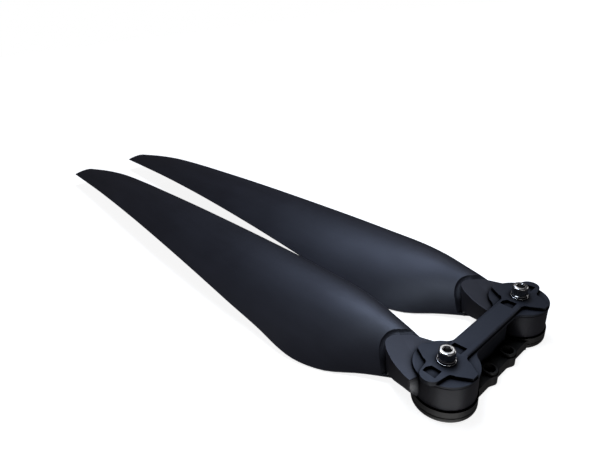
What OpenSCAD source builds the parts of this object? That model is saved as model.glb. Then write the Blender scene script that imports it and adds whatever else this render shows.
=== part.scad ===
// Folding two-blade propeller for a large multirotor, with both blades folded to one side.
// Origin: motor axis, on the bottom face of the hub. +Z is up, along the motor axis.
// The hub runs along X. The folded blades lie side by side towards +Y.
// Both blades are the same moulding, so the right one is the left one moved along X.

/* [Hub] */
// Distance between the two blade pivots
pivot_spacing = 87; // [84:1:96]
// Height of the hub from its bottom face to the raised cross on top
hub_h = 31; // [30.5:0.5:34]
// Radius of the round ends of the upper clamp
plate_r = 19.3; // [18.5:0.1:19.6]
// Radius of the round ends of the lower clamp
flange_r = 19.8; // [19.6:0.1:20]
// Width of the upper bridge between the pivots
bridge_w = 15.6; // [13:0.1:17]
// Width of the lower beam between the pivots
beam_w = 29.6; // [28:0.2:31]
// How far the cross stands above its pockets
cross_h = 2.1; // [1.5:0.1:2.3]
// Half width of the long bar of the cross
bar_half = 7.2; // [6:0.1:7.6]

/* [Blade] */
// Distance from the pivot to the tip
blade_len = 643; // [500:1:720]
// Largest chord in plan
chord_max = 71.5; // [60:0.5:74]
// Distance that the blade would advance in one turn
blade_pitch = 310; // [250:5:340]
// Sweep of the leading edge at the raked tip
tip_rake = 11.7; // [0:0.1:16]
// Height of the gentle arch along the blade
blade_bow = 10.5; // [0:0.5:14]
// Radius of the round blade root
root_r = 18.9; // [18:0.1:19]
// Thickness over chord at the tip
tip_ratio = 0.075; // [0.06:0.005:0.1]
// Thickness over chord at the root
root_ratio = 0.34; // [0.28:0.01:0.36]

/* [Pivot] */
// Diameter of the pivot screws
screw_d = 6; // [5:0.5:6]
// Outside diameter of the bushes in the blade roots
bush_d = 10; // [9:0.5:12]
// Radial running clearance of a bush on its screw
running_gap = 0.04; // [0.02:0.01:0.08]
// Thickness of the friction washers
friction_t = 0.34; // [0.3:0.02:0.34]

/* [Motor mount] */
// Diameter of the circle through the four motor screw holes
mount_pcd = 32; // [30:0.5:33]
// Diameter of the motor screw holes
mount_hole_d = 4.3; // [3.3:0.1:4.5]

/* [Hidden] */
$fn = 96;
eps = 0.01;

// Which end of the hub a piece belongs to
LEFT = -1;
RIGHT = 1;
pivot_x = pivot_spacing / 2;

// Colours
nylon_top = "#34363f";
nylon_low = "#1e1e24";
blade_grey = "#3a3f4c";
steel = "#c9ccd0";
brass = "#b99a4c";
washer_white = "#d8d6cc";

// Heights of the stack, from the bottom face up
cap_h = 4.75;
seam_gap = 0.15;
flange_z = cap_h + seam_gap;
flange_top = 9.2;
beam_h = 7.5;
boss_h = 10;
plate_t = 1.5;
plate_z = hub_h - cross_h - plate_t;
stack_gap = 0.03;
root_bottom = flange_top + friction_t + 2 * stack_gap;
root_top = plate_z - friction_t - 2 * stack_gap;
root_mid = (root_bottom + root_top) / 2;

// Pivot hardware
clear_r = screw_d / 2 + 0.1;
shank_r = screw_d / 2;
head_r = screw_d * 5 / 6;
head_h = screw_d;
socket_af = screw_d * 5 / 6;
socket_h = screw_d / 2;
spot_depth = 0.3;
flat_t = 1;
flat_r = screw_d * 0.95;
spring_t = 1.6;
spring_r = screw_d * 0.9;
head_z = hub_h - spot_depth + flat_t + spring_t;
nut_af = screw_d * 5 / 3;
nut_h = screw_d;
nut_z = 1;
screw_len = head_z - nut_z - 0.3;
bond_gap = 0.02;

// Screws that pull the two clamps together
clamp_screw_x = 12;
clamp_screw_r = 2;
clamp_head_r = 3.5;
clamp_head_h = 4;
clamp_head_z = 0.4;
clamp_screw_len = 14;
insert_r = 2.9;
insert_h = 8;
web_l = 38;
web_w = 10.4;

// Motor screw bosses stand at the corners of a square inside the hole circle
boss_x = mount_pcd / 2 * cos(45);
boss_r = 4.9;
motor_head_r = 3.7;
motor_seat_z = 4;

// Blade planform: distance from the pivot over the length, then the leading and the
// trailing offsets from the pivot line over the largest chord
PLANFORM = [
    [0.04, 0.180, 0.160], [0.075, 0.245, 0.325], [0.11, 0.305, 0.525], [0.15, 0.340, 0.640],
    [0.21, 0.350, 0.640], [0.28, 0.345, 0.640], [0.45, 0.300, 0.600], [0.62, 0.255, 0.545],
    [0.82, 0.207, 0.477], [1, 0.084, 0.436]
];
rake_from = 0.826;
rake_power = 2;
tip_slant = 3;
// Height of the twist axis at the pivot and its rise towards the tip
axis_drop = 17.6;
axis_rise = 6.1;
root_lift = 2.3;
axis_share = 0.35;
camber = 0.045;
edge_t = 0.8;
// The round root turns into the aerofoil between these two distances
morph_from = 18.5;
morph_to = 27;
loft_from = 7;
side_pts = 12;

// ---------- Small helpers ----------

function clamp01(t) = min(1, max(0, t));
function ease(t) = let (c = clamp01(t)) c * c * (3 - 2 * c);
function mix(a, b, t) = a + (b - a) * t;
function arc(c, r, a0, a1, n) =
    [for (i = [0:n]) c + r * [cos(mix(a0, a1, i / n)), sin(mix(a0, a1, i / n))]];

// Slope of column col of a table at row i
function slope(tab, col, i) =
    let (a = max(0, i - 1), b = min(len(tab) - 1, i + 1))
    (tab[b][col] - tab[a][col]) / (tab[b][0] - tab[a][0]);

// Smooth curve through column col of a table at x
function through(tab, col, x) =
    let (
        i = max([for (k = [0:len(tab) - 2]) if (k == 0 || x >= tab[k][0]) k]),
        h = tab[i + 1][0] - tab[i][0],
        t = clamp01((x - tab[i][0]) / h)
    )
    (2 * t^3 - 3 * t^2 + 1) * tab[i][col] + (t^3 - 2 * t^2 + t) * h * slope(tab, col, i)
    + (3 * t^2 - 2 * t^3) * tab[i + 1][col] + (t^3 - t^2) * h * slope(tab, col, i + 1);

module at_pivot(side) translate([side * pivot_x, 0, 0]) children();

module tube(r, bore_r, z0, z1) translate([0, 0, z0]) difference() {
    cylinder(r = r, h = z1 - z0);
    translate([0, 0, -1]) cylinder(r = bore_r, h = z1 - z0 + 2);
}

// Plan of a clamp: a bar of the given width with a round end at each pivot, and a concave
// fillet where the bar runs into each round end. The last point of the fillet arc is left out,
// so the outline meets the round end at an angle and not at a knife edge
module dog_bone(end_r, width, fillet_r) {
    w = width / 2;
    dx = sqrt((end_r + fillet_r)^2 - (w + fillet_r)^2);
    curve = arc([-dx, w + fillet_r], fillet_r, -90, -atan((w + fillet_r) / dx), 9);
    fillet = concat([[0, 0], [-dx - 1, 0], [-dx - 1, w]], [for (i = [0:8]) curve[i]]);
    square([2 * (pivot_x - dx), width], center = true);
    for (side = [LEFT, RIGHT]) {
        translate([side * pivot_x, 0]) circle(r = end_r);
        for (turn = [-1, 1]) scale([side, turn]) translate([pivot_x, 0]) polygon(fillet);
    }
}

// ---------- Clamps ----------

// Raised cross on one end of the upper clamp: a tapered arm each way along Y, with concave
// corners where it meets the bar
module cross_arms() {
    arm_root = 7.6;
    arm_tip = 2.4;
    arm_reach = plate_r - 0.6;
    corner_r = 3.4;
    corner = arc([arm_root + corner_r, bar_half + corner_r], corner_r, 270, 180, 8);
    right_side = concat([[arm_root + corner_r, 0]], corner, [[arm_tip, arm_reach]]);
    left_side = [for (i = [len(right_side) - 1:-1:0]) [-right_side[i].x, right_side[i].y]];
    for (turn = [-1, 1]) scale([1, turn]) polygon(concat(right_side, left_side));
}

// The bar runs past each pivot screw, narrows a little and ends in a round nose
module cross_plan() {
    nose_x = 15.2;
    nose_r = 6.4;
    taper_from = 11;
    translate([-pivot_x, -bar_half]) square([pivot_spacing, 2 * bar_half]);
    for (side = [LEFT, RIGHT]) translate([side * pivot_x, 0]) {
        cross_arms();
        translate([side * nose_x, 0]) circle(r = nose_r);
        scale([side, 1]) polygon([
            [0, -bar_half], [taper_from, -bar_half], [nose_x + 0.8, 0.1 - nose_r],
            [nose_x + 0.8, nose_r - 0.1], [taper_from, bar_half], [0, bar_half]
        ]);
    }
}

// Two shallow pockets sunk in the bar, one on each side of a pivot screw. Each has a short
// straight wall towards the screw and opens out away from it
module bar_pockets() {
    pocket_depth = 1.9;
    outline = [[9.6, -3.3], [16.6, -3.5], [16.2, 5.1], [12.9, 5.3], [9.6, 3.5]];
    for (flip = [-1, 1])
        translate([0, 0, hub_h - pocket_depth]) linear_extrude(pocket_depth + 1)
            scale([flip, 1]) polygon(outline);
}

module upper_clamp() color(nylon_top) difference() {
    union() {
        translate([0, 0, plate_z]) linear_extrude(plate_t) dog_bone(plate_r, bridge_w, 8);
        translate([0, 0, plate_z + 0.6 * plate_t]) linear_extrude(0.4 * plate_t + cross_h)
            cross_plan();
        translate([-web_l / 2, -web_w / 2, beam_h])
            cube([web_l, web_w, plate_z - beam_h + 0.3 * plate_t]);
    }
    for (side = [LEFT, RIGHT]) {
        at_pivot(side) {
            translate([0, 0, plate_z - 1]) cylinder(r = clear_r, h = hub_h);
            translate([0, 0, hub_h - spot_depth]) cylinder(r = flat_r + 0.3, h = 1);
            bar_pockets();
        }
        translate([side * clamp_screw_x, 0, beam_h - 1]) {
            cylinder(r = insert_r + bond_gap, h = insert_h + 1);
            cylinder(r = clamp_screw_r + 0.2, h = clamp_screw_len - 1);
        }
    }
}

module lower_clamp() color(nylon_low) difference() {
    union() {
        linear_extrude(beam_h) dog_bone(flange_r, beam_w, 6);
        at_pivot(LEFT) flange_disc();
        at_pivot(RIGHT) flange_disc();
        for (x = [-boss_x, boss_x], y = [-boss_x, boss_x])
            translate([x, y, 0]) cylinder(r = boss_r, h = boss_h);
    }
    for (side = [LEFT, RIGHT]) {
        at_pivot(side) flange_cuts();
        translate([side * clamp_screw_x, 0, -1]) {
            cylinder(r = clamp_screw_r + 0.2, h = beam_h + 2);
            cylinder(r = clamp_head_r + 0.3, h = clamp_head_z + clamp_head_h + 1);
        }
    }
    for (x = [-boss_x, boss_x], y = [-boss_x, boss_x]) translate([x, y, -1]) {
        cylinder(d = mount_hole_d, h = boss_h + 2);
        translate([0, 0, motor_seat_z + 1]) cylinder(r = motor_head_r, h = boss_h);
    }
}

module flange_disc() rotate_extrude() polygon([
    [0, flange_z], [flange_r - 0.7, flange_z], [flange_r, flange_z + 0.7],
    [flange_r, flange_top - 0.4], [flange_r - 0.4, flange_top], [0, flange_top]
]);

// Room under a round end for the end cap, its snap ring, the lock nut and the screw
module flange_cuts() {
    translate([0, 0, -1]) cylinder(r = flange_r + 0.2, h = flange_z + 1);
    translate([0, 0, flange_z - 1]) tube(15.1, 12.9, 0, 2.3);
    translate([0, 0, flange_z - 1])
        cylinder(d = (nut_af + 0.2) / cos(30), h = 1 + nut_z + nut_h - flange_z, $fn = 6);
    translate([0, 0, -1]) cylinder(r = clear_r, h = flange_top + 2);
}

// Cap that covers the lock nut: a dished disc with a snap ring on top
module end_cap(side) color(nylon_low) at_pivot(side) {
    edge_r = 2.4;
    rise = 1.1;
    recess_r = 6.4;
    recess_z = nut_z - 0.1;
    rotate_extrude() polygon(concat(
        [[0, 0]],
        arc([flange_r - edge_r, edge_r], edge_r, -90, 0, 8),
        [[flange_r, cap_h - 0.7], [flange_r - 0.7, cap_h], [15, cap_h], [15, cap_h + rise],
         [13, cap_h + rise], [13, cap_h], [recess_r, cap_h], [recess_r, recess_z],
         [0, recess_z]]
    ));
}

// ---------- Screws between the clamps ----------

module socket_screw(r, top_r, top_h, length, af, depth) {
    translate([0, 0, -length]) cylinder(r = r, h = length + eps);
    difference() {
        rotate_extrude() polygon([
            [0, 0], [top_r, 0], [top_r, top_h - 0.5], [top_r - 0.5, top_h], [0, top_h]
        ]);
        translate([0, 0, top_h - depth]) cylinder(d = af / cos(30), h = depth + 1, $fn = 6);
    }
}

module clamp_screws() color(steel) for (side = [LEFT, RIGHT])
    translate([side * clamp_screw_x, 0, clamp_head_z + clamp_head_h]) mirror([0, 0, 1])
        socket_screw(clamp_screw_r, clamp_head_r, clamp_head_h, clamp_screw_len, 3, 2);

module clamp_inserts() color(brass) for (side = [LEFT, RIGHT])
    translate([side * clamp_screw_x, 0, 0])
        tube(insert_r, clamp_screw_r + bond_gap, beam_h + 0.1, beam_h + insert_h);

// ---------- Pivot hardware ----------

module pivot_screw(side) color(steel) at_pivot(side) translate([0, 0, head_z])
    socket_screw(shank_r, head_r, head_h, screw_len, socket_af, socket_h);

// Split ring: the gap is a thin slice on one side
module spring_washer(side) color(steel) at_pivot(side) difference() {
    tube(spring_r, clear_r, hub_h - spot_depth + flat_t, head_z);
    translate([0, -0.4, hub_h]) rotate([0, 0, -60]) cube([spring_r + 1, 0.8, 6]);
}

module flat_washer(side) color(steel) at_pivot(side)
    tube(flat_r, clear_r, hub_h - spot_depth, hub_h - spot_depth + flat_t);

module upper_friction_washer(side) color(washer_white) at_pivot(side)
    tube(root_r - 2, clear_r, root_top + stack_gap, root_top + stack_gap + friction_t);

module lower_friction_washer(side) color(washer_white) at_pivot(side)
    tube(root_r - 2, clear_r, flange_top + stack_gap, flange_top + stack_gap + friction_t);

module lock_nut(side) color(steel) at_pivot(side) difference() {
    translate([0, 0, nut_z]) cylinder(d = nut_af / cos(30), h = nut_h, $fn = 6);
    translate([0, 0, -1]) cylinder(r = shank_r + bond_gap, h = nut_h + 3);
}

module bush(side) color(brass) at_pivot(side)
    tube(bush_d / 2, shank_r + running_gap, root_bottom + 0.1, root_top - 0.1);

// ---------- Blade ----------

// Half thickness of an aerofoil of unit chord and unit thickness at chord share c
function foil(c) =
    5 * (0.2969 * sqrt(c) - 0.126 * c - 0.3516 * c^2 + 0.2843 * c^3 - 0.1015 * c^4);

// The same for the rounded block that the section becomes at the root
function block(c) = 0.5 * pow(max(0, 1 - pow(abs(2 * c - 1), 4)), 0.25);

function rake(e) = tip_rake * clamp01((e - rake_from) / (1 - rake_from))^rake_power;
function lead_x(e) = chord_max * through(PLANFORM, 1, e) - rake(e);
function trail_x(e) = -chord_max * through(PLANFORM, 2, e);
function twist(y) = atan(blade_pitch / (2 * PI * (y + pivot_x)));
function axis_z(e) =
    hub_h - axis_drop + axis_rise * e + blade_bow * sin(180 * e)
    + root_lift * exp(-((e - 0.04) / 0.05)^2);

// One cross-section at distance y from the pivot, as a loop of points
function section(y) =
    let (
        e = y / blade_len,
        m = ease((y - morph_from) / (morph_to - morph_from)),
        lead = lead_x(e),
        width = lead - trail_x(e),
        a = twist(y) * m,
        chord = width / cos(a),
        ratio = tip_ratio + (root_ratio - tip_ratio) * exp(-(e - 0.04) / 0.11),
        thick = mix(root_top - root_bottom - 1.4, ratio * chord, m),
        z0 = mix(root_mid, axis_z(e), m),
        slant = tip_slant * ease((e - 0.92) / 0.08)
    )
    [for (i = [0:2 * side_pts - 1])
        let (
            up = i <= side_pts ? 1 : -1,
            k = i <= side_pts ? i : 2 * side_pts - i,
            c = (1 - cos(180 * k / side_pts)) / 2,
            body = mix(block(c), foil(c), m) * thick,
            n = 4 * camber * c * (1 - c) * chord * m + up * (body + edge_t / 2 * c * m)
        )
        [lead - c * chord * cos(a) - n * sin(a),
         y - slant * (1 - c),
         z0 + (axis_share - c) * chord * sin(a) + n * cos(a)]
    ];

// Distances of the cross-sections, close together at the root and at the tip
function stations() = concat(
    [for (y = [loft_from:2.5:morph_to + 3]) y],
    [for (t = [0.1:0.1:1.001]) mix(morph_to + 3, 0.28 * blade_len, t)],
    [for (t = [0.1:0.1:1.001]) mix(0.28 * blade_len, 0.85 * blade_len, t)],
    [for (t = [0.14:0.14:0.9]) mix(0.85, 1, sin(90 * t)) * blade_len],
    [blade_len]
);

// Skin through the cross-sections, closed by a flat face at each end
module blade_skin() {
    ys = stations();
    n = 2 * side_pts;
    last = len(ys) - 1;
    points = [for (y = ys) each section(y)];
    sides = [for (j = [0:last - 1], i = [0:n - 1]) let (k = (i + 1) % n, p = j * n)
        each [[p + i, p + n + k, p + n + i], [p + i, p + k, p + n + k]]];
    caps = [for (i = [1:n - 2]) each [
        [0, i + 1, i], [last * n, last * n + i, last * n + i + 1]
    ]];
    polyhedron(points, concat(sides, caps), convexity = 8);
}

// Flat arch-shaped land on top of the root, seen from above
function land_outline() = concat(
    [[14.5, 11.6], [12.4, 19], [8.7, 31]],
    arc([-4, 31.7], 8.5, 30, 135, 10),
    arc([36.6, -2.2], 61.7, 143, 170.5, 8),
    [[-12, 4], [0, 0]]
);

// Foot of the land above the lower clamp
function land_foot() = [
    [13, 11], [11, 19], [4, 32], [-5, 37], [-13, 33], [-17, 26], [-17.5, 20], [-18.4, 13],
    [-18, 6], [0, 0]
];

// Beyond the lower clamp the trailing side of the land reaches further down, into the blade
function land_keel_top() = [[-17, 27], [-12, 34], [-4, 38], [0, 27]];
function land_keel_foot() = [[-16.6, 29], [-14.5, 34], [-8, 36], [-5, 29]];

// The land narrows downwards into the root and stops inside the blade
module land() intersection() {
    thin = 0.1;
    land_z = root_bottom + 0.6;
    keel_z = 4.5;
    union() {
        hull() {
            translate([0, 0, root_top - thin]) linear_extrude(thin) polygon(land_outline());
            translate([0, 0, land_z]) linear_extrude(thin) polygon(land_foot());
        }
        hull() {
            translate([0, 0, root_top - 3]) linear_extrude(thin) polygon(land_keel_top());
            translate([0, 0, keel_z]) linear_extrude(thin) polygon(land_keel_foot());
        }
    }
    translate([3.5, 0, axis_z(0.05)]) rotate([0, -twist(32), 0])
        translate([-60, -60, 0]) cube([120, 120, 60]);
}

module root_disc() rotate_extrude() polygon([
    [0, root_bottom], [root_r - 0.6, root_bottom], [root_r, root_bottom + 0.6],
    [root_r, root_top - 0.6], [root_r - 0.6, root_top], [0, root_top]
]);

module blade(side) color(blade_grey) at_pivot(side) difference() {
    union() {
        blade_skin();
        land();
        root_disc();
    }
    translate([0, 0, root_bottom - 2]) cylinder(r = bush_d / 2 + bond_gap, h = root_top);
}

upper_clamp();
lower_clamp();
clamp_screws();
clamp_inserts();
blade(LEFT);  // left_blade
bush(LEFT);  // left_bush
pivot_screw(LEFT);  // left_pivot_screw
spring_washer(LEFT);  // left_spring_washer
flat_washer(LEFT);  // left_flat_washer
upper_friction_washer(LEFT);  // left_upper_friction_washer
lower_friction_washer(LEFT);  // left_lower_friction_washer
lock_nut(LEFT);  // left_lock_nut
end_cap(LEFT);  // left_end_cap
blade(RIGHT);  // right_blade
bush(RIGHT);  // right_bush
pivot_screw(RIGHT);  // right_pivot_screw
spring_washer(RIGHT);  // right_spring_washer
flat_washer(RIGHT);  // right_flat_washer
upper_friction_washer(RIGHT);  // right_upper_friction_washer
lower_friction_washer(RIGHT);  // right_lower_friction_washer
lock_nut(RIGHT);  // right_lock_nut
end_cap(RIGHT);  // right_end_cap
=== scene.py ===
import math

import bmesh
import bpy
import numpy as np
from mathutils import Matrix, Vector


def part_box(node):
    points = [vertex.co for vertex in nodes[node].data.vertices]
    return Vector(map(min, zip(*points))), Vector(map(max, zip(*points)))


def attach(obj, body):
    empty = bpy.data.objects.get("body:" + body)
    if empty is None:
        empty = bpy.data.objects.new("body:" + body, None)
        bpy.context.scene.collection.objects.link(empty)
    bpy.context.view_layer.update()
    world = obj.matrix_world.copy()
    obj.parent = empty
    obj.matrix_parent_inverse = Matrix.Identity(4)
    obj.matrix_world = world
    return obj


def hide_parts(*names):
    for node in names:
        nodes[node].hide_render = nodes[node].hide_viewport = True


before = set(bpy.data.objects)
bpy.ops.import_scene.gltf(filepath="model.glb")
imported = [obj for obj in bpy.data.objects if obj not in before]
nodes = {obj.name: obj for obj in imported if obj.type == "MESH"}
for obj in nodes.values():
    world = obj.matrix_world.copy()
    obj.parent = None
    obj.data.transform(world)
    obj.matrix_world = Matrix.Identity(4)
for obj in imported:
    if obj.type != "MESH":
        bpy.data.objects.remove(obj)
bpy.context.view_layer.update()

MM = 0.001
SIDES = {"left": -1, "right": 1}
# how far a cutting tool stands out of the surface that it cuts, in millimetres
OVER = 1

# ---------------------------------------------------------------- sizes, in millimetres


def low(node):
    """Lowest corner of a CAD node at rest."""
    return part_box(node)[0] / MM


def high(node):
    """Highest corner of a CAD node at rest."""
    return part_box(node)[1] / MM


PIVOT_X = (low("right_pivot_screw").x + high("right_pivot_screw").x) / 2
HUB_TOP = high("upper_clamp").z
PIVOT_HOLE_R = 3.1

# lower clamp: a beam with a round flange at each end, bosses round the motor holes
FLANGE_TOP = 9.2
FLANGE_R = high("right_end_cap").x - PIVOT_X
BEAM_TOP = 7.5
BEAM_HALF, BEAM_FILLET = 14.8, 6
BOSS_TOP = high("lower_clamp").z
BOSS_R = 4.9
MOTOR_CIRCLE = 32
MOTOR_XY = MOTOR_CIRCLE / 2 * math.cos(math.radians(45))
MOTOR_HOLE_R, MOTOR_HEAD_R, MOTOR_SEAT = 2.15, 3.7, 4
NUT_ACROSS, NUT_TOP = 10.2, 7
CAP_TOP = 4.75
SEAM = 0.15

# screws that hold the clamps together, from below into inserts in the upper clamp
CLAMP_SCREW_X, CLAMP_SCREW_R = 12, 2.2
CLAMP_HEAD_R, CLAMP_HEAD_DEPTH = 3.8, 4.4
INSERT_R, INSERT_DEPTH, THREAD_DEPTH = 2.92, 8, 12

# upper clamp: a plate with a bar and a cross on top
CROSS_RISE = 2.1
PLATE_LOW = HUB_TOP - CROSS_RISE - 1.5
PLATE_TOP = HUB_TOP - CROSS_RISE
# the raised parts start inside the plate
RAISED_LOW = PLATE_LOW + 0.5
PLATE_R = 19.3
PLATE_HALF, PLATE_FILLET = 7.8, 8
BAR_HALF = 7.2
NOSE_X, NOSE_R, TAPER_FROM = 15.2, 6.4, 11
SPOT_R, SPOT_SINK = 6, 1
POCKET_DEPTH = 1.9
WEB_X, WEB_Y = 19, 5.2

# pivot screw, washers and bush
HEAD_TOP = high("left_pivot_screw").z
HEAD_R = (high("left_pivot_screw").x - low("left_pivot_screw").x) / 2
HEAD_LOW = high("left_spring_washer").z
SPRING_LOW = low("left_spring_washer").z
BUSH_LOW, BUSH_TOP = low("left_bush").z, high("left_bush").z
BUSH_R = (high("left_bush").x - low("left_bush").x) / 2 + 0.02

# blade root
BLADE_LEN = high("left_blade").y
ROOT_R = -low("left_blade").y
ROOT_BOTTOM = BUSH_LOW - 0.1
ROOT_TOP = BUSH_TOP + 0.1
ROOT_MID = (ROOT_BOTTOM + ROOT_TOP) / 2

# a smooth edge bulges past the facets of the CAD blade, so the chord is 0.1 mm smaller
CHORD_MAX = 71.4
BLADE_PITCH = 310
# share of the blade's length where its planform starts
ROOT_AT = 0.04
# distance from the pivot over the length, leading and trailing offset over the largest chord
PLANFORM = np.array([
    (ROOT_AT, 0.180, 0.160), (0.075, 0.245, 0.325), (0.11, 0.305, 0.525), (0.15, 0.340, 0.640),
    (0.21, 0.350, 0.640), (0.28, 0.345, 0.640), (0.45, 0.300, 0.600), (0.62, 0.255, 0.545),
    (0.82, 0.207, 0.477), (1.0, 0.084, 0.436),
])
TIP_RAKE, RAKE_FROM = 11.7, 0.826
TIP_SLANT, SLANT_FROM = 3, 0.92
# the last stretch of the tip, where its corners and its thickness are rounded off
TIP_ROUND, LEAD_CUT, TRAIL_CUT, TIP_THIN = 2.6, 2.2, 0.8, 0.12
# between these distances the block of the root becomes an aerofoil
MORPH_FROM, MORPH_TO = 18.5, 27
# that block is thinner than the round root by this much
BLOCK_STEP = 1.4
# thickness over chord, and the share of the length over which it falls
TIP_RATIO, ROOT_RATIO, RATIO_FADE = 0.075, 0.34, 0.11
EDGE_T, EDGE_BLEND = 0.8, 0.25
CAMBER = 0.045
# the twist axis: its share of the chord, its drop below the hub top, rise, arch and root hump
AXIS_SHARE = 0.35
AXIS_DROP, AXIS_RISE, AXIS_ARCH = 17.6, 6.1, 10.5
HUMP_WIDTH, HUMP_RISE = 0.05, 2.3

# ---------------------------------------------------------------- mesh helpers


def mesh_object(name, verts, faces):
    """A mesh from points in millimetres, with its faces turned outwards."""
    mesh = bpy.data.meshes.new(name)
    mesh.from_pydata([tuple(float(c) * MM for c in v) for v in verts], [], faces)
    bm = bmesh.new()
    bm.from_mesh(mesh)
    bmesh.ops.remove_doubles(bm, verts=bm.verts, dist=1e-7)
    bmesh.ops.dissolve_degenerate(bm, edges=bm.edges, dist=1e-8)
    bmesh.ops.recalc_face_normals(bm, faces=bm.faces)
    bm.to_mesh(mesh)
    bm.free()
    obj = bpy.data.objects.new(name, mesh)
    bpy.context.scene.collection.objects.link(obj)
    return obj


def bake(obj):
    """Applies the modifiers of obj to its mesh."""
    graph = bpy.context.evaluated_depsgraph_get()
    mesh = bpy.data.meshes.new_from_object(obj.evaluated_get(graph))
    obj.modifiers.clear()
    obj.data = mesh
    return obj


def combine(obj, tools, operation):
    """Joins the tools to obj, or cuts them from it, and removes them."""
    for tool in tools:
        modifier = obj.modifiers.new("solid", "BOOLEAN")
        modifier.operation = operation
        modifier.solver = "EXACT"
        modifier.object = tool
    bake(obj)
    for tool in tools:
        bpy.data.objects.remove(tool)
    return obj


def soften(obj, width, segments=3, angle=35):
    """Rounds the edges sharper than angle, width in millimetres."""
    modifier = obj.modifiers.new("round", "BEVEL")
    modifier.width = width * MM
    modifier.segments = segments
    modifier.limit_method = "ANGLE"
    modifier.angle_limit = math.radians(angle)
    modifier.miter_outer = "MITER_ARC"
    return bake(obj)


def smooth(obj, angle=32):
    """Smooth shading below the given angle, with large faces kept flat."""
    obj.data.shade_smooth()
    obj.data.set_sharp_from_angle(angle=math.radians(angle))
    modifier = obj.modifiers.new("flat faces", "WEIGHTED_NORMAL")
    modifier.keep_sharp = True
    modifier.weight = 80
    return bake(obj)


def arc(cx, cy, r, a0, a1, n):
    """Points on an arc, angles in degrees, both ends included."""
    t = np.radians(np.linspace(a0, a1, n + 1))
    return [(cx + r * math.cos(a), cy + r * math.sin(a)) for a in t]


def fillet_corners(points, r, steps=4):
    """Rounds each corner of a closed 2D outline, except those on the axis (first value 0)."""
    out = []
    count = len(points)
    for i, p in enumerate(points):
        p = np.array(p, float)
        before = np.array(points[i - 1], float) - p
        after = np.array(points[(i + 1) % count], float) - p
        la, lb = np.linalg.norm(before), np.linalg.norm(after)
        if p[0] < 1e-6 or min(la, lb) < 1e-6:
            out.append(tuple(p))
            continue
        reach = min(r, 0.45 * la, 0.45 * lb)
        start, end = p + before / la * reach, p + after / lb * reach
        for t in np.linspace(0, 1, steps + 1):
            out.append(tuple((1 - t) ** 2 * start + 2 * t * (1 - t) * p + t ** 2 * end))
    return out


def tube_sides(rows, count):
    """Faces between rows of rings, each a closed ring of count points."""
    faces = []
    for j in range(rows - 1):
        for i in range(count):
            k = (i + 1) % count
            faces.append((j * count + i, j * count + k, (j + 1) * count + k, (j + 1) * count + i))
    return faces


def tube_ends(rows, count):
    """Flat faces that close the first and the last ring."""
    return [tuple(range(count)), tuple(range((rows - 1) * count, rows * count))]


def lathe(name, profile, x=0.0, y=0.0, steps=128, ripple=None):
    """Turns a closed outline of (radius, height) about a vertical line.
    ripple(angle, point index) is taken off a radius, for knurling."""
    angles = np.linspace(0, 2 * math.pi, steps, endpoint=False)
    verts, faces = [], []
    for k, (radius, z) in enumerate(profile):
        for a in angles:
            r = radius - ripple(a, k) if ripple else radius
            verts.append((x + r * math.cos(a), y + r * math.sin(a), z))
    count = len(profile)
    for k in range(count):
        after = (k + 1) % count
        if profile[k][0] < 1e-6 and profile[after][0] < 1e-6:
            continue
        for i in range(steps):
            j = (i + 1) % steps
            faces.append((k * steps + i, k * steps + j, after * steps + j, after * steps + i))
    return mesh_object(name, verts, faces)


def prism(name, outline, z0, z1, x=0.0, y=0.0):
    """A straight-sided solid on a closed plan outline."""
    count = len(outline)
    verts = [(x + px, y + py, z) for z in (z0, z1) for px, py in outline]
    return mesh_object(name, verts, tube_ends(2, count) + tube_sides(2, count))


def cylinder(name, r, z0, z1, x=0.0, y=0.0, steps=96):
    """An upright round solid."""
    return prism(name, arc(0, 0, r, 0, 360 - 360 / steps, steps - 1), z0, z1, x, y)


def mirrored(half):
    """Completes an outline with the mirror image of its right half."""
    return half + [(-px, py) for px, py in reversed(half)]


def hexagon(across_flats):
    """Plan of a hexagon with a corner on the X axis."""
    r = across_flats / math.sqrt(3)
    return arc(0, 0, r, 0, 300, 5)


def dog_bone(end_r, half, fillet_r):
    """Plan of a clamp: a bar between the pivots with round ends and concave fillets."""
    dx = math.sqrt((end_r + fillet_r) ** 2 - (half + fillet_r) ** 2)
    lean = math.degrees(math.atan2(half + fillet_r, dx))
    quarter = arc(PIVOT_X - dx, half + fillet_r, fillet_r, -90, -lean, 12)[:-1]
    end = arc(PIVOT_X, 0, end_r, 180 - lean, 0, 48)
    top = quarter + end
    right = top + [(px, -py) for px, py in reversed(top[:-1])]
    left = [(-px, -py) for px, py in right]
    return right + left


# ---------------------------------------------------------------- blade


def ease(t):
    """Smooth step from 0 to 1."""
    t = np.clip(t, 0, 1)
    return t * t * (3 - 2 * t)


def mix(a, b, t):
    """Value between a and b at share t."""
    return a + (b - a) * t


def through(column, x):
    """Smooth curve through a column of the planform."""
    xs, ys = PLANFORM[:, 0], PLANFORM[:, column]
    slope = np.empty(len(xs))
    slope[1:-1] = (ys[2:] - ys[:-2]) / (xs[2:] - xs[:-2])
    slope[0] = (ys[1] - ys[0]) / (xs[1] - xs[0])
    slope[-1] = (ys[-1] - ys[-2]) / (xs[-1] - xs[-2])
    i = np.clip(np.searchsorted(xs, x) - 1, 0, len(xs) - 2)
    gap = xs[i + 1] - xs[i]
    t = np.clip((x - xs[i]) / gap, 0, 1)
    return (
        (2 * t ** 3 - 3 * t ** 2 + 1) * ys[i] + (t ** 3 - 2 * t ** 2 + t) * gap * slope[i]
        + (3 * t ** 2 - 2 * t ** 3) * ys[i + 1] + (t ** 3 - t ** 2) * gap * slope[i + 1]
    )


def lead_x(part):
    """Leading edge at a share of the length, swept back towards the tip."""
    rake = TIP_RAKE * np.clip((part - RAKE_FROM) / (1 - RAKE_FROM), 0, 1) ** 2
    return CHORD_MAX * through(1, part) - rake


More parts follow.
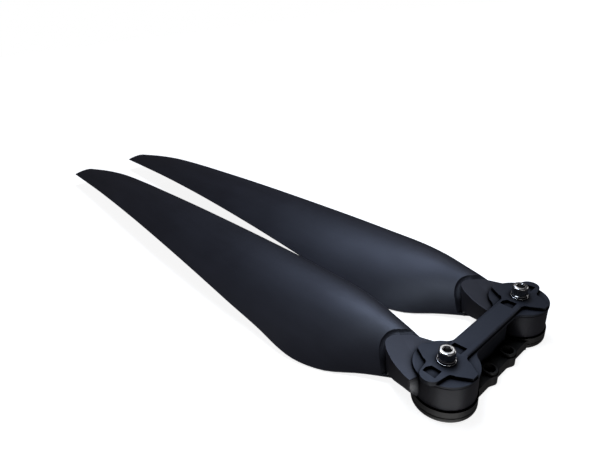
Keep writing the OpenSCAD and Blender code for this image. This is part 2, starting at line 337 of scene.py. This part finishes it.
def trail_x(part):
    """Trailing edge at a share of the length."""
    return -CHORD_MAX * through(2, part)


def axis_z(part):
    """Height of the twist axis at a share of the length."""
    arch = AXIS_ARCH * np.sin(math.pi * part)
    hump = HUMP_RISE * np.exp(-((part - ROOT_AT) / HUMP_WIDTH) ** 2)
    return HUB_TOP - AXIS_DROP + AXIS_RISE * part + arch + hump


def twist(y):
    """Angle of a section, for the same pitch all along the blade in flight."""
    return np.arctan(BLADE_PITCH / (2 * math.pi * (y + PIVOT_X)))


def foil(c):
    """Half thickness of a symmetric aerofoil at share c of its chord, over its thickness."""
    return 5 * (0.2969 * np.sqrt(c) - 0.126 * c - 0.3516 * c ** 2 + 0.2843 * c ** 3 - 0.1015 * c ** 4)


def block(c):
    """Half thickness of a block with round sides, which is the section at the root."""
    return 0.5 * np.clip(1 - np.abs(2 * c - 1) ** 4, 0, 1) ** 0.25


def section(y, share, up):
    """Points of one cross-section at distance y: share runs from the leading edge to the
    trailing edge, and up is 1 on the upper skin and -1 on the lower."""
    part = y / BLADE_LEN
    morph = ease((y - MORPH_FROM) / (MORPH_TO - MORPH_FROM))
    end = np.clip((BLADE_LEN - y) / TIP_ROUND, 0, 1)
    tip_round = math.sqrt(max(0.0, 1 - (1 - end) ** 2))
    lead = lead_x(part) - LEAD_CUT * (1 - tip_round)
    trail = trail_x(part) + TRAIL_CUT * (1 - tip_round)
    angle = twist(y) * morph
    chord = (lead - trail) / math.cos(angle)
    ratio = TIP_RATIO + (ROOT_RATIO - TIP_RATIO) * math.exp(-(part - ROOT_AT) / RATIO_FADE)
    root_thick = ROOT_TOP - ROOT_BOTTOM - BLOCK_STEP
    thick = mix(root_thick, ratio * chord, morph) * mix(TIP_THIN, 1, tip_round)
    axis = mix(ROOT_MID, axis_z(part), morph)
    slant = TIP_SLANT * ease((part - SLANT_FROM) / (1 - SLANT_FROM))
    body = mix(block(share), foil(share), morph) * thick
    edge = EDGE_T / 2 * np.clip(share / EDGE_BLEND, 0, 1) * morph * tip_round
    arch = 4 * CAMBER * share * (1 - share) * chord * morph
    rise = arch + up * (body + edge * (share > 0))
    x = lead - share * chord * math.cos(angle) - rise * math.sin(angle)
    z = axis + (AXIS_SHARE - share) * chord * math.sin(angle) + rise * math.cos(angle)
    return np.stack([x, y - slant * (1 - share), z], -1)


def stations():
    """Distances of the cross-sections, close together at the root and the tip."""
    root_end, body_end = 45, 0.9 * BLADE_LEN
    root = np.arange(7, root_end, 0.8)
    body = np.linspace(root_end, body_end, 90)[1:]
    outer = np.linspace(body_end, BLADE_LEN - 3, 24)[1:]
    tip = BLADE_LEN - TIP_ROUND * (1 - np.sin(np.linspace(0, math.pi / 2, 9)))
    return np.concatenate([root, body, outer, tip])


def blade_skin(name, x):
    """The aerofoil from the root to the tip, as a closed solid through the cross-sections."""
    side = 36
    share = (1 - np.cos(np.linspace(0, math.pi, side + 1))) / 2
    verts = []
    ys = stations()
    for y in ys:
        upper = section(y, share, 1)
        lower = section(y, share[:0:-1], -1)
        ring = np.concatenate([upper, lower])
        ring[:, 0] += x
        verts.extend(ring)
    loop = 2 * side + 1
    return mesh_object(name, verts, tube_sides(len(ys), loop) + tube_ends(len(ys), loop))


def land_outline():
    """Plan of the flat arch-shaped land on top of the root."""
    lead_side = [(14.5, 11.6), (12.4, 19), (8.7, 31)]
    apex = arc(-4, 31.7, 8.5, 30, 135, 24)
    trail_side = arc(36.6, -2.2, 61.7, 143, 170.5, 24)
    return lead_side + apex + trail_side + [(-12, 4), (0, 0)]


def land_foot():
    """Plan of the same land lower down, where its sides meet the root and the blade."""
    return [(13, 11), (11, 19), (5, 32), (-4, 37.5), (-12, 34.5), (-16.6, 29), (-17.5, 24),
            (-17.8, 18), (-18.4, 12), (-18, 6), (0, 0)]


def reach(outline, centre, angle):
    """Distance from the centre to a closed outline in a given direction."""
    ux, uy = math.cos(angle), math.sin(angle)
    best = 0.0
    for i, (ax, ay) in enumerate(outline):
        bx, by = outline[(i + 1) % len(outline)]
        ex, ey = bx - ax, by - ay
        cross = ux * ey - uy * ex
        if abs(cross) < 1e-9:
            continue
        rx, ry = ax - centre[0], ay - centre[1]
        along = (rx * ey - ry * ex) / cross
        share = (rx * uy - ry * ux) / cross
        if along > 0 and -1e-6 <= share <= 1 + 1e-6:
            best = max(best, along)
    return best


def skin_height(x, y):
    """Height of the upper skin of the blade, or None beside the blade."""
    margin = 0.4
    line = section(y, np.linspace(0.0, 1.0, 80), 1)
    xs, zs = line[::-1, 0], line[::-1, 2]
    if x < xs[0] + margin or x > xs[-1] - margin:
        return None
    return float(np.interp(x, xs, zs))


def land_side(angle, centre):
    """Points down the side of the land in one direction: a steep wall that ends under the skin
    of the blade, or a straight foot where the land overhangs the root."""
    edge, sink, levels = 0.35, 0.35, 12
    skin_flare, skin_sink, flare_step = 1.0, 2.2, 0.3
    least_flare, steps = 0.2, 40
    lip_in, lip_down = 1.5, 0.6
    top = reach(land_outline(), centre, angle)
    foot = reach(land_foot(), centre, angle)
    ux, uy = math.cos(angle), math.sin(angle)
    foot_z = ROOT_BOTTOM + 0.6
    end, end_z, flare = foot, foot_z, 0.0
    for step in range(3 * steps // 2):
        depth = step / steps
        r = mix(top, foot, depth)
        z = mix(ROOT_TOP, foot_z, depth)
        y = centre[1] + uy * r
        height = skin_height(centre[0] + ux * r, y) if y > MORPH_FROM else None
        if height is not None and z < height:
            end, end_z, flare, sink = r, height, skin_flare, skin_sink
            break
    while flare > least_flare:
        y = centre[1] + uy * (end + flare)
        height = skin_height(centre[0] + ux * (end + flare), y)
        if height is not None:
            end_z = height
            break
        flare -= flare_step
    flare = max(0.0, min(flare, ROOT_TOP - end_z))
    points = [(top - edge, ROOT_TOP), (top - 0.3 * edge, ROOT_TOP - 0.3 * edge)]
    for t in np.linspace(0, 1, levels):
        out = flare * (1 - math.sqrt(1 - t * t))
        points.append((mix(top, end, t) + out, mix(ROOT_TOP - edge, end_z - sink, t)))
    points.append((points[-1][0] - lip_in - flare, points[-1][1] - lip_down))
    return [(centre[0] + ux * r, centre[1] + uy * r, z) for r, z in points]


def land(name, x):
    """The land as a closed solid, built from its sides all round a centre line."""
    centre, count = (-4, 20), 150
    sides = [land_side(2 * math.pi * i / count, centre) for i in range(count)]
    rows = len(sides[0])
    verts = [(px + x, py, pz) for side in sides for px, py, pz in side]
    faces = []
    for i in range(count):
        k = (i + 1) % count
        for j in range(rows - 1):
            faces.append((i * rows + j, k * rows + j, k * rows + j + 1, i * rows + j + 1))
    faces.append(tuple(i * rows for i in range(count)))
    verts.append((centre[0] + x, centre[1], ROOT_MID))
    for i in range(count):
        k = (i + 1) % count
        faces.append((i * rows + rows - 1, k * rows + rows - 1, len(verts) - 1))
    return mesh_object(name, verts, faces)


def moat(name, x):
    """Tube that follows the free side of the land and cuts a hollow round it in the blade."""
    radius, away, lift, around = 4.0, 1.7, 2.5, 24
    extra_lift, lift_from, lift_over = 1.6, 20, 8
    outline = land_outline()
    near, apex = np.array(outline[1]), np.array(outline[2])
    path = [tuple(mix(near, apex, t)) for t in (0.2, 0.45, 0.7, 0.9)]
    path += [point for point in outline[2:-2] if point[1] > lift_from]
    verts, level = [], ROOT_TOP
    for i, (px, py) in enumerate(path):
        ax, ay = path[max(i - 1, 0)]
        bx, by = path[min(i + 1, len(path) - 1)]
        span = math.hypot(bx - ax, by - ay)
        out_x, out_y = (by - ay) / span, (ax - bx) / span
        cx, cy = px + away * out_x, py + away * out_y
        level = skin_height(cx, cy) or level
        rise = lift + extra_lift * (1 - ease((py - lift_from) / lift_over))
        for t in np.linspace(0, 2 * math.pi, around, endpoint=False):
            flat = radius * math.cos(t)
            height = level + rise + radius * math.sin(t)
            verts.append((x + cx + flat * out_x, cy + flat * out_y, height))
    rows = len(path)
    return mesh_object(name, verts, tube_ends(rows, around) + tube_sides(rows, around))


def root_barrel(name, x):
    """Round root of the blade, about its pivot."""
    profile = fillet_corners([
        (0, ROOT_BOTTOM), (ROOT_R, ROOT_BOTTOM), (ROOT_R, ROOT_TOP), (0, ROOT_TOP)
    ], 0.7, 5)
    return lathe(name, profile, x, 0, 160)


def build_blade(side):
    """Blade with its round root, the land on top of it, the hollow round that, and the bore."""
    x = SIDES[side] * PIVOT_X
    blade = blade_skin(side + "_blade_moulding", x)
    combine(blade, [moat("moat", x)], "DIFFERENCE")
    combine(blade, [root_barrel("barrel", x)], "UNION")
    combine(blade, [land("land", x)], "UNION")
    combine(blade, [cylinder("bore", BUSH_R, ROOT_BOTTOM - 2, ROOT_TOP + 2, x)], "DIFFERENCE")
    return smooth(blade, 30)


# ---------------------------------------------------------------- clamps


def cross_outline():
    """Half of the raised cross round one pivot, above the bar, as seen from above."""
    root, tip, length, corner = 7.6, 2.4, PLATE_R - 0.6, 3.4
    right = [(root + corner, 0)] + arc(root + corner, BAR_HALF + corner, corner, 270, 180, 10)
    right.append((tip, length))
    return mirrored(right)


def bar(name):
    """Bridge between the pivots, with its long top edges well rounded."""
    edge = 1.0
    right = [(BAR_HALF, RAISED_LOW)] + arc(BAR_HALF - edge, HUB_TOP - edge, edge, 0, 90, 6)
    profile = mirrored(right)
    half = PIVOT_X - TAPER_FROM + 1
    verts = [(px, py, pz) for px in (-half, half) for py, pz in profile]
    count = len(profile)
    return mesh_object(name, verts, tube_ends(2, count) + tube_sides(2, count))


def nose_outline():
    """Raised bar round one pivot, which ends in a round nose."""
    outline = [(-TAPER_FROM, -BAR_HALF), (TAPER_FROM, -BAR_HALF)]
    outline += arc(NOSE_X, 0, NOSE_R, -82, 82, 24)
    return outline + [(TAPER_FROM, BAR_HALF), (-TAPER_FROM, BAR_HALF)]


def pocket_outline():
    """Pocket in the raised bar, beside the screw."""
    return [(9.6, -3.3), (16.6, -3.5), (16.2, 5.1), (12.9, 5.3), (9.6, 3.5)]


def lobe_outline():
    """Middle of the lower clamp as seen from above, which widens beside the motor holes."""
    end, base, rise, width = 22, 14.4, 2.4, 4.4
    edge = []
    for px in np.linspace(-end, end, 56):
        edge.append((px, base + rise * math.exp(-((abs(px) - MOTOR_XY) / width) ** 2)))
    return edge + [(px, -py) for px, py in reversed(edge)]


def build_upper_clamp():
    """Plate with the bar, the crosses and noses on top, and a web down to the lower clamp."""
    plan = dog_bone(PLATE_R, PLATE_HALF, PLATE_FILLET)
    clamp = prism("upper_clamp_moulding", plan, PLATE_LOW, PLATE_TOP)
    parts = [bar("bar")]
    for sign in SIDES.values():
        x = sign * PIVOT_X
        for turn in (1, -1):
            arms = [(px, turn * py) for px, py in cross_outline()]
            parts.append(prism("arms", arms, RAISED_LOW, HUB_TOP, x))
        nose = [(sign * px, py) for px, py in nose_outline()]
        parts.append(prism("nose", nose, RAISED_LOW, HUB_TOP, x))
    web = [(-WEB_X, -WEB_Y), (WEB_X, -WEB_Y), (WEB_X, WEB_Y), (-WEB_X, WEB_Y)]
    parts.append(prism("web", web, BEAM_TOP, PLATE_LOW + 0.4))
    combine(clamp, parts, "UNION")
    cuts = []
    insert_low = BEAM_TOP - OVER
    insert_top, thread_top = BEAM_TOP + INSERT_DEPTH, BEAM_TOP + THREAD_DEPTH
    for sign in SIDES.values():
        x = sign * PIVOT_X
        screw_x = sign * CLAMP_SCREW_X
        cuts.append(cylinder("hole", PIVOT_HOLE_R, PLATE_LOW - OVER, HUB_TOP + OVER, x))
        cuts.append(cylinder("spot", SPOT_R, SPRING_LOW - SPOT_SINK, HUB_TOP + OVER, x))
        for flip in (1, -1):
            pocket = [(flip * px, py) for px, py in pocket_outline()]
            cuts.append(prism("pocket", pocket, HUB_TOP - POCKET_DEPTH, HUB_TOP + OVER, x))
        cuts.append(cylinder("insert", INSERT_R, insert_low, insert_top, screw_x, 0, 48))
        cuts.append(cylinder("thread", CLAMP_SCREW_R, insert_low, thread_top, screw_x, 0, 48))
    combine(clamp, cuts, "DIFFERENCE")
    return smooth(soften(clamp, 0.35))


def build_lower_clamp():
    """Beam with the flanges, the motor screw bosses and room for nuts, caps and screws."""
    clamp = prism("lower_clamp_moulding", dog_bone(FLANGE_R, BEAM_HALF, BEAM_FILLET), 0, BEAM_TOP)
    parts = [prism("lobes", lobe_outline(), 0, BEAM_TOP)]
    flange_low = CAP_TOP + SEAM
    for sign in SIDES.values():
        parts.append(cylinder("flange", FLANGE_R, flange_low, FLANGE_TOP, sign * PIVOT_X, 0, 144))
        for turn in (1, -1):
            parts.append(cylinder("boss", BOSS_R, 0, BOSS_TOP, sign * MOTOR_XY, turn * MOTOR_XY, 64))
    combine(clamp, parts, "UNION")
    cuts = []
    for sign in SIDES.values():
        x = sign * PIVOT_X
        screw_x = sign * CLAMP_SCREW_X
        cuts.append(cylinder("cap_room", FLANGE_R + 0.2, -OVER, flange_low, x, 0, 144))
        cuts.append(prism("nut_room", hexagon(NUT_ACROSS), 0, NUT_TOP, x))
        cuts.append(cylinder("hole", PIVOT_HOLE_R, -OVER, FLANGE_TOP + OVER, x))
        cuts.append(cylinder("screw", CLAMP_SCREW_R, -OVER, BEAM_TOP + OVER, screw_x, 0, 48))
        cuts.append(cylinder("head", CLAMP_HEAD_R, -OVER, CLAMP_HEAD_DEPTH, screw_x, 0, 48))
        for turn in (1, -1):
            at = (sign * MOTOR_XY, turn * MOTOR_XY)
            cuts.append(cylinder("motor_hole", MOTOR_HOLE_R, -OVER, BOSS_TOP + OVER, *at, 48))
            cuts.append(cylinder("motor_head", MOTOR_HEAD_R, MOTOR_SEAT, BOSS_TOP + OVER, *at, 48))
    combine(clamp, cuts, "DIFFERENCE")
    return smooth(soften(clamp, 0.4))


def build_end_cap(side):
    """Round cap with a rounded foot, a rim that stands in the clamp and room for the nut."""
    x = SIDES[side] * PIVOT_X
    edge, chamfer = 2.4, 0.7
    rim_out, rim_in, rim_top = 15, 13, CAP_TOP + 1.1
    room_r, base = 6.4, 0.9
    profile = [(0, 0)] + arc(FLANGE_R - edge, edge, edge, -90, 0, 10)
    profile += [(FLANGE_R, CAP_TOP - chamfer), (FLANGE_R - chamfer, CAP_TOP)]
    profile += [(rim_out, CAP_TOP), (rim_out, rim_top), (rim_in, rim_top), (rim_in, CAP_TOP)]
    profile += [(room_r, CAP_TOP), (room_r, base), (0, base)]
    return smooth(lathe(side + "_end_cap_moulding", profile, x, 0, 160))


# ---------------------------------------------------------------- hardware


def build_pivot_screw(side):
    """Socket head screw with a knurled head."""
    x = SIDES[side] * PIVOT_X
    z0, z1 = HEAD_LOW, HEAD_TOP
    teeth, depth, across_flats, socket_depth = 54, 0.16, 5.0, 3
    shank = [(0, 1.3), (2.5, 1.3), (3, 1.8), (3, z0), (4.6, z0), (4.9, z0 + 0.15)]
    knurl = [(HEAD_R, z) for z in (z0 + 0.5, z0 + 2, z0 + 3.4, z1 - 1.0)]
    crown = [(4.93, z1 - 0.65), (4.7, z1 - 0.3), (4.4, z1 - 0.08), (4.0, z1), (0, z1)]
    knurled = range(len(shank), len(shank) + len(knurl))

    def ripple(a, k):
        return depth * (0.5 - 0.5 * math.cos(teeth * a)) if k in knurled else 0.0

    screw = lathe(side + "_pivot_screw_turned", shank + knurl + crown, x, 0, 8 * teeth, ripple)
    rim = [(0, z1 - 0.5), (2.6, z1 - 0.5), (3.1, z1 + 0.1), (0, z1 + 0.1)]
    sink = lathe("sink", rim, x, 0, 96)
    socket = prism("socket", hexagon(across_flats), z1 - socket_depth, z1 + OVER, x)
    combine(screw, [socket, sink], "DIFFERENCE")
    return smooth(screw, 40)


def build_spring_washer(side):
    """Flat split ring, with a gap between its ends."""
    x = SIDES[side] * PIVOT_X
    inner, outer = PIVOT_HOLE_R + 0.05, 5.4
    corner, play = 0.18, 0.02
    z0, z1 = SPRING_LOW + play, HEAD_LOW - play
    shape = [(inner + corner, z0), (outer - corner, z0), (outer, z0 + corner), (outer, z1 - corner),
             (outer - corner, z1), (inner + corner, z1), (inner, z1 - corner), (inner, z0 + corner)]
    steps, gap, turned = 120, math.radians(5), math.radians(60)
    verts = []
    for a in np.linspace(gap, 2 * math.pi - gap, steps) - turned:
        for r, z in shape:
            verts.append((x + r * math.cos(a), r * math.sin(a), z))
    faces = tube_sides(steps, len(shape)) + tube_ends(steps, len(shape))
    return smooth(mesh_object(side + "_spring_washer_ring", verts, faces))


def build_flat_washer(side):
    """Flat ring with softened edges."""
    x = SIDES[side] * PIVOT_X
    inner, outer = PIVOT_HOLE_R, 5.7
    z0, z1 = low("left_flat_washer").z, high("left_flat_washer").z
    profile = fillet_corners([(inner, z0), (outer, z0), (outer, z1), (inner, z1)], 0.2, 4)
    return smooth(lathe(side + "_flat_washer_ring", profile, x, 0, 128))


# ---------------------------------------------------------------- materials


class Shader:
    """A principled material with short calls to add and join nodes."""

    def __init__(self, name):
        self.material = bpy.data.materials.new(name)
        self.material.use_nodes = True
        self.tree = self.material.node_tree
        self.surface = self.tree.nodes["Principled BSDF"]
        self.place = self.node("ShaderNodeTexCoord").outputs["Object"]

    def node(self, kind, inputs=None, **settings):
        made = self.tree.nodes.new(kind)
        for key, value in settings.items():
            setattr(made, key, value)
        for key, value in (inputs or {}).items():
            self.join(value, made.inputs[key])
        return made

    def join(self, value, socket):
        if isinstance(value, bpy.types.NodeSocket):
            self.tree.links.new(value, socket)
        else:
            socket.default_value = value

    def stretched(self, scale):
        made = self.node("ShaderNodeMapping", {"Vector": self.place, "Scale": scale})
        return made.outputs["Vector"]

    def noise(self, vector, scale, detail=3.0, rough=0.55):
        made = self.node(
            "ShaderNodeTexNoise",
            {"Vector": vector, "Scale": scale, "Detail": detail, "Roughness": rough},
        )
        return made.outputs["Fac"]

    def ramp(self, value, low_in, high_in, low_out, high_out):
        made = self.node(
            "ShaderNodeMapRange",
            {"Value": value, "From Min": low_in, "From Max": high_in,
             "To Min": low_out, "To Max": high_out},
        )
        return made.outputs["Result"]

    def blend(self, share, a, b):
        made = self.node("ShaderNodeMix", data_type="RGBA")
        self.join(share, made.inputs[0])
        self.join(a, made.inputs[6])
        self.join(b, made.inputs[7])
        return made.outputs[2]

    def bump(self, height, distance, strength=1.0, normal=None):
        made = self.node("ShaderNodeBump", {"Height": height, "Distance": distance, "Strength": strength})
        if normal:
            self.join(normal, made.inputs["Normal"])
        return made.outputs["Normal"]

    def set(self, **values):
        for key, value in values.items():
            self.join(value, self.surface.inputs[key.replace("_", " ")])


def rgb(r, g, b):
    return (r, g, b, 1.0)


def moulded(name, dark, light, rough, flow=(1, 1, 1), grain=1.0, tint=(1, 1, 1, 1), specular=0.5):
    """Fibre-filled nylon: faint flow marks, a fine spark-eroded grain, worn pale edges, and painted
    shade in corners and hollows, which darkens the colour and weakens the specular there."""
    shader = Shader(name)
    flow_marks = shader.noise(shader.stretched(flow), 60, 5, 0.6)
    cloud = shader.noise(shader.place, 22, 3)
    fine = shader.noise(shader.place, 2600, 2)
    speck = shader.noise(shader.place, 900, 4, 0.7)
    share = shader.ramp(flow_marks, 0.35, 0.7, 0.0, 0.7)
    colour = shader.blend(share, rgb(*dark), rgb(*light))
    edge = shader.ramp(shader.node("ShaderNodeNewGeometry").outputs["Pointiness"], 0.53, 0.6, 0.0, 0.3)
    colour = shader.blend(edge, colour, rgb(*[c * 1.8 + 0.006 for c in light]))
    # painted shade: ambient occlusion over a short and a long distance darkens the colour in corners,
    # creases and hollows
    corner = shader.node("ShaderNodeAmbientOcclusion", {"Distance": 0.005}, samples=8).outputs["AO"]
    hollow = shader.node("ShaderNodeAmbientOcclusion", {"Distance": 0.016}, samples=8).outputs["AO"]
    shade = shader.node(
        "ShaderNodeMath",
        {0: shader.ramp(corner, 0.64, 0.95, 0.04, 1.0), 1: shader.ramp(hollow, 0.35, 0.75, 0.2, 1.0)},
        operation="MULTIPLY",
    ).outputs[0]
    colour = shader.blend(shade, rgb(0, 0, 0), colour)
    variation = shader.ramp(cloud, 0.3, 0.7, rough - 0.05, rough + 0.06)
    # painted shade on the reflections: the specular level falls where the colour is darkened
    level = shader.node("ShaderNodeMath", {0: shade, 1: specular}, operation="MULTIPLY").outputs[0]
    shader.set(Base_Color=colour, Roughness=variation, Specular_Tint=tint, Specular_IOR_Level=level)
    grain_height = shader.node("ShaderNodeMath", {0: fine, 1: speck}, operation="ADD").outputs[0]
    shader.set(Normal=shader.bump(grain_height, 0.00004 * grain, 0.5))
    return shader.material


def metal(name, colour, rough, brush=(1, 1, 30), wear=0.06, side=1.0):
    """Turned metal with fine tool marks, slight stains and painted shade in the corners. side below 1
    paints shade on the upright faces, such as the knurled side of a head, darker than the ends."""
    shader = Shader(name)
    marks = shader.noise(shader.stretched(brush), 900, 3)
    stain = shader.noise(shader.place, 260, 4)
    dull = [c * 0.72 for c in colour]
    tone = shader.blend(shader.ramp(stain, 0.45, 0.75, 0.0, 1.0), rgb(*colour), rgb(*dull))
    # painted shade: ambient occlusion darkens the colour in corners and tight gaps
    corner = shader.node("ShaderNodeAmbientOcclusion", {"Distance": 0.003}, samples=8).outputs["AO"]
    tone = shader.blend(shader.ramp(corner, 0.3, 0.9, 0.0, 1.0), rgb(*[c * 0.12 for c in colour]), tone)
    # painted shade: faces that stand upright are darkened by the factor side
    normal = shader.node("ShaderNodeNewGeometry").outputs["Normal"]
    tilt = shader.node("ShaderNodeSeparateXYZ", {"Vector": normal}).outputs["Z"]
    facing = shader.node("ShaderNodeMath", {0: tilt}, operation="ABSOLUTE").outputs[0]
    tone = shader.blend(shader.ramp(facing, 0.15, 0.5, 0.0, 1.0), rgb(*[c * side for c in colour]), tone)
    shader.set(Base_Color=tone, Metallic=1.0, Roughness=shader.ramp(marks, 0.3, 0.7, rough, rough + wear))
    shader.set(Normal=shader.bump(marks, 0.00002, 0.4))
    return shader.material


def slip_plastic(name):
    """Smooth pale plastic of the friction washers."""
    shader = Shader(name)
    haze = shader.noise(shader.place, 300, 3)
    shader.set(Base_Color=shader.blend(haze, rgb(0.72, 0.7, 0.62), rgb(0.85, 0.84, 0.79)), Roughness=0.45)
    shader.set(Normal=shader.bump(haze, 0.00002, 0.3))
    return shader.material


def coat(obj, material):
    """Gives an object one material, in a slot named for what it is."""
    obj.data.materials.clear()
    obj.data.materials.append(material)


# ---------------------------------------------------------------- build


def build():
    cool = (0.84, 0.88, 1.0, 1.0)
    blade_nylon = moulded("blade_nylon", (0.013, 0.0125, 0.0165), (0.021, 0.0205, 0.027), 0.46,
                          (1, 0.12, 1), 1.0, cool)
    upper_nylon = moulded("upper_nylon", (0.008, 0.009, 0.014), (0.013, 0.0145, 0.021), 0.5,
                          (0.4, 1, 1), 1.4, (0.8, 0.86, 1.0, 1.0), 0.45)
    lower_nylon = moulded("lower_nylon", (0.009, 0.009, 0.009), (0.016, 0.016, 0.016), 0.5,
                          (0.4, 1, 1), 1.4)
    # side=0.4 paints shade on the upright faces of the steel parts, such as the knurled screw heads
    steel = metal("stainless_steel", (0.78, 0.78, 0.79), 0.16, side=0.4)
    black_steel = metal("black_steel", (0.05, 0.05, 0.055), 0.35)
    brass = metal("brass", (0.72, 0.52, 0.2), 0.28)
    bronze = metal("sintered_bronze", (0.55, 0.36, 0.17), 0.45, (1, 1, 1), 0.15)
    slip = slip_plastic("slip_plastic")

    def show(piece, material, body, node):
        coat(piece, material)
        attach(piece, body)
        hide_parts(node)

    show(build_upper_clamp(), upper_nylon, "hub", "upper_clamp")
    show(build_lower_clamp(), lower_nylon, "hub", "lower_clamp")
    for side in SIDES:
        show(build_blade(side), blade_nylon, side + "_blade", side + "_blade")
        show(build_end_cap(side), lower_nylon, "hub", side + "_end_cap")
        show(build_pivot_screw(side), steel, "hub", side + "_pivot_screw")
        show(build_spring_washer(side), steel, "hub", side + "_spring_washer")
        show(build_flat_washer(side), steel, "hub", side + "_flat_washer")
        coat(nodes[side + "_lock_nut"], steel)
        coat(nodes[side + "_bush"], bronze)
        coat(nodes[side + "_upper_friction_washer"], slip)
        coat(nodes[side + "_lower_friction_washer"], slip)
    coat(nodes["clamp_screws"], black_steel)
    coat(nodes["clamp_inserts"], brass)


# ---------------------------------------------------------------- stage


def area_light(name, place, target, size, power, colour=(1, 1, 1)):
    data = bpy.data.lights.new(name, "AREA")
    data.shape = "RECTANGLE"
    data.size, data.size_y = size
    data.energy = power
    data.color = colour
    obj = bpy.data.objects.new(name, data)
    obj.location = place
    obj.rotation_mode = "QUATERNION"
    obj.rotation_quaternion = (Vector(target) - Vector(place)).to_track_quat("-Z", "Y")
    bpy.context.scene.collection.objects.link(obj)


def set_stage():
    """White floor and backdrop that give the object little light, soft lights close above the
    blade roots, so that the sheen fades towards the tips, and weak ones all round. The floor
    is clear from below."""
    far, drop = 6e3, -0.2
    corners = [(-far, -far, drop), (far, -far, drop), (far, far, drop), (-far, far, drop)]
    floor = mesh_object("floor", corners, [(0, 1, 2, 3)])
    shader = Shader("floor")
    pale = shader.blend(shader.noise(shader.place, 3, 2), rgb(0.8, 0.8, 0.81), rgb(0.84, 0.84, 0.84))
    shader.set(Base_Color=pale, Roughness=1.0, Specular_IOR_Level=0.0)
    distance = shader.node("ShaderNodeVectorMath", {0: shader.place}, operation="LENGTH").outputs["Value"]
    shader.set(Emission_Color=rgb(1, 1, 1), Emission_Strength=shader.ramp(distance, 0.7, 1.6, 0.86, 1.05))
    under = shader.node("ShaderNodeNewGeometry").outputs["Backfacing"]
    clear = shader.node("ShaderNodeBsdfTransparent").outputs[0]
    pale_side = shader.surface.outputs[0]
    sides = shader.node("ShaderNodeMixShader", {0: under, 1: pale_side, 2: clear}).outputs[0]
    shader.tree.links.new(sides, shader.tree.nodes["Material Output"].inputs["Surface"])
    floor.data.materials.append(shader.material)
    floor.visible_diffuse = False
    floor.visible_glossy = False
    floor.visible_shadow = False

    world = bpy.data.worlds.new("studio")
    world.use_nodes = True
    tree = world.node_tree
    dim = tree.nodes["Background"]
    dim.inputs["Color"].default_value = (1.0, 0.96, 1.0, 1)
    dim.inputs["Strength"].default_value = 0.05
    white = tree.nodes.new("ShaderNodeBackground")
    white.inputs["Color"].default_value = (1, 1, 1, 1)
    seen = tree.nodes.new("ShaderNodeLightPath")
    choose = tree.nodes.new("ShaderNodeMixShader")
    tree.links.new(seen.outputs["Is Camera Ray"], choose.inputs[0])
    tree.links.new(dim.outputs[0], choose.inputs[1])
    tree.links.new(white.outputs[0], choose.inputs[2])
    tree.links.new(choose.outputs[0], tree.nodes["World Output"].inputs[0])
    bpy.context.scene.world = world

    area_light("key", (0.17, 0.37, 0.7), (0.02, 0.12, 0.02), (0.25, 0.25), 2.5, (0.66, 0.77, 1.0))
    area_light("near", (-0.05, 0.045, 0.19), (-0.045, 0.03, 0.03), (0.09, 0.09), 0.15, (0.78, 0.88, 1.0))
    area_light("back", (1.1, -0.4, 0.35), (0, 0.1, 0.02), (0.5, 0.3), 1)
    area_light("side", (-0.8, 1.0, 0.4), (0, 0.2, 0.02), (0.5, 0.3), 1)
    area_light("below", (-0.2, -0.2, -0.9), (0, 0.1, 0), (0.8, 0.8), 4)
    area_light("card", (0.6, 0.37, 0.71), (0, 0, 0), (0.3, 0.3), 0.3)
    area_light("front", (-0.55, -0.85, 0.12), (0, 0, 0.02), (0.5, 0.3), 1.1)
    bpy.context.scene.view_settings.view_transform = "Standard"


def set_camera():
    """The camera stands close to the hub, above and in front of the left pivot, and looks along
    the folded blades with a slight roll."""
    heading, down, roll = math.radians(37.73), math.radians(27.52), math.radians(-5.88)
    level = math.cos(down)
    forward = Vector((math.sin(heading) * level, math.cos(heading) * level, -math.sin(down)))
    right = forward.cross(Vector((0, 0, 1))).normalized()
    up = right.cross(forward)
    tilted = right * math.cos(roll) + up * math.sin(roll)
    data = bpy.data.cameras.new("camera")
    data.sensor_width = 36
    data.lens = 26.85
    data.clip_start = 0.01
    place = (-0.2247, -0.1053, 0.2230)
    camera = bpy.data.objects.new("camera", data)
    axes = Matrix((tilted, tilted.cross(forward), -forward)).transposed()
    camera.matrix_world = Matrix.Translation(place) @ axes.to_4x4()
    bpy.context.scene.collection.objects.link(camera)
    bpy.context.scene.camera = camera


build()
set_stage()
set_camera()
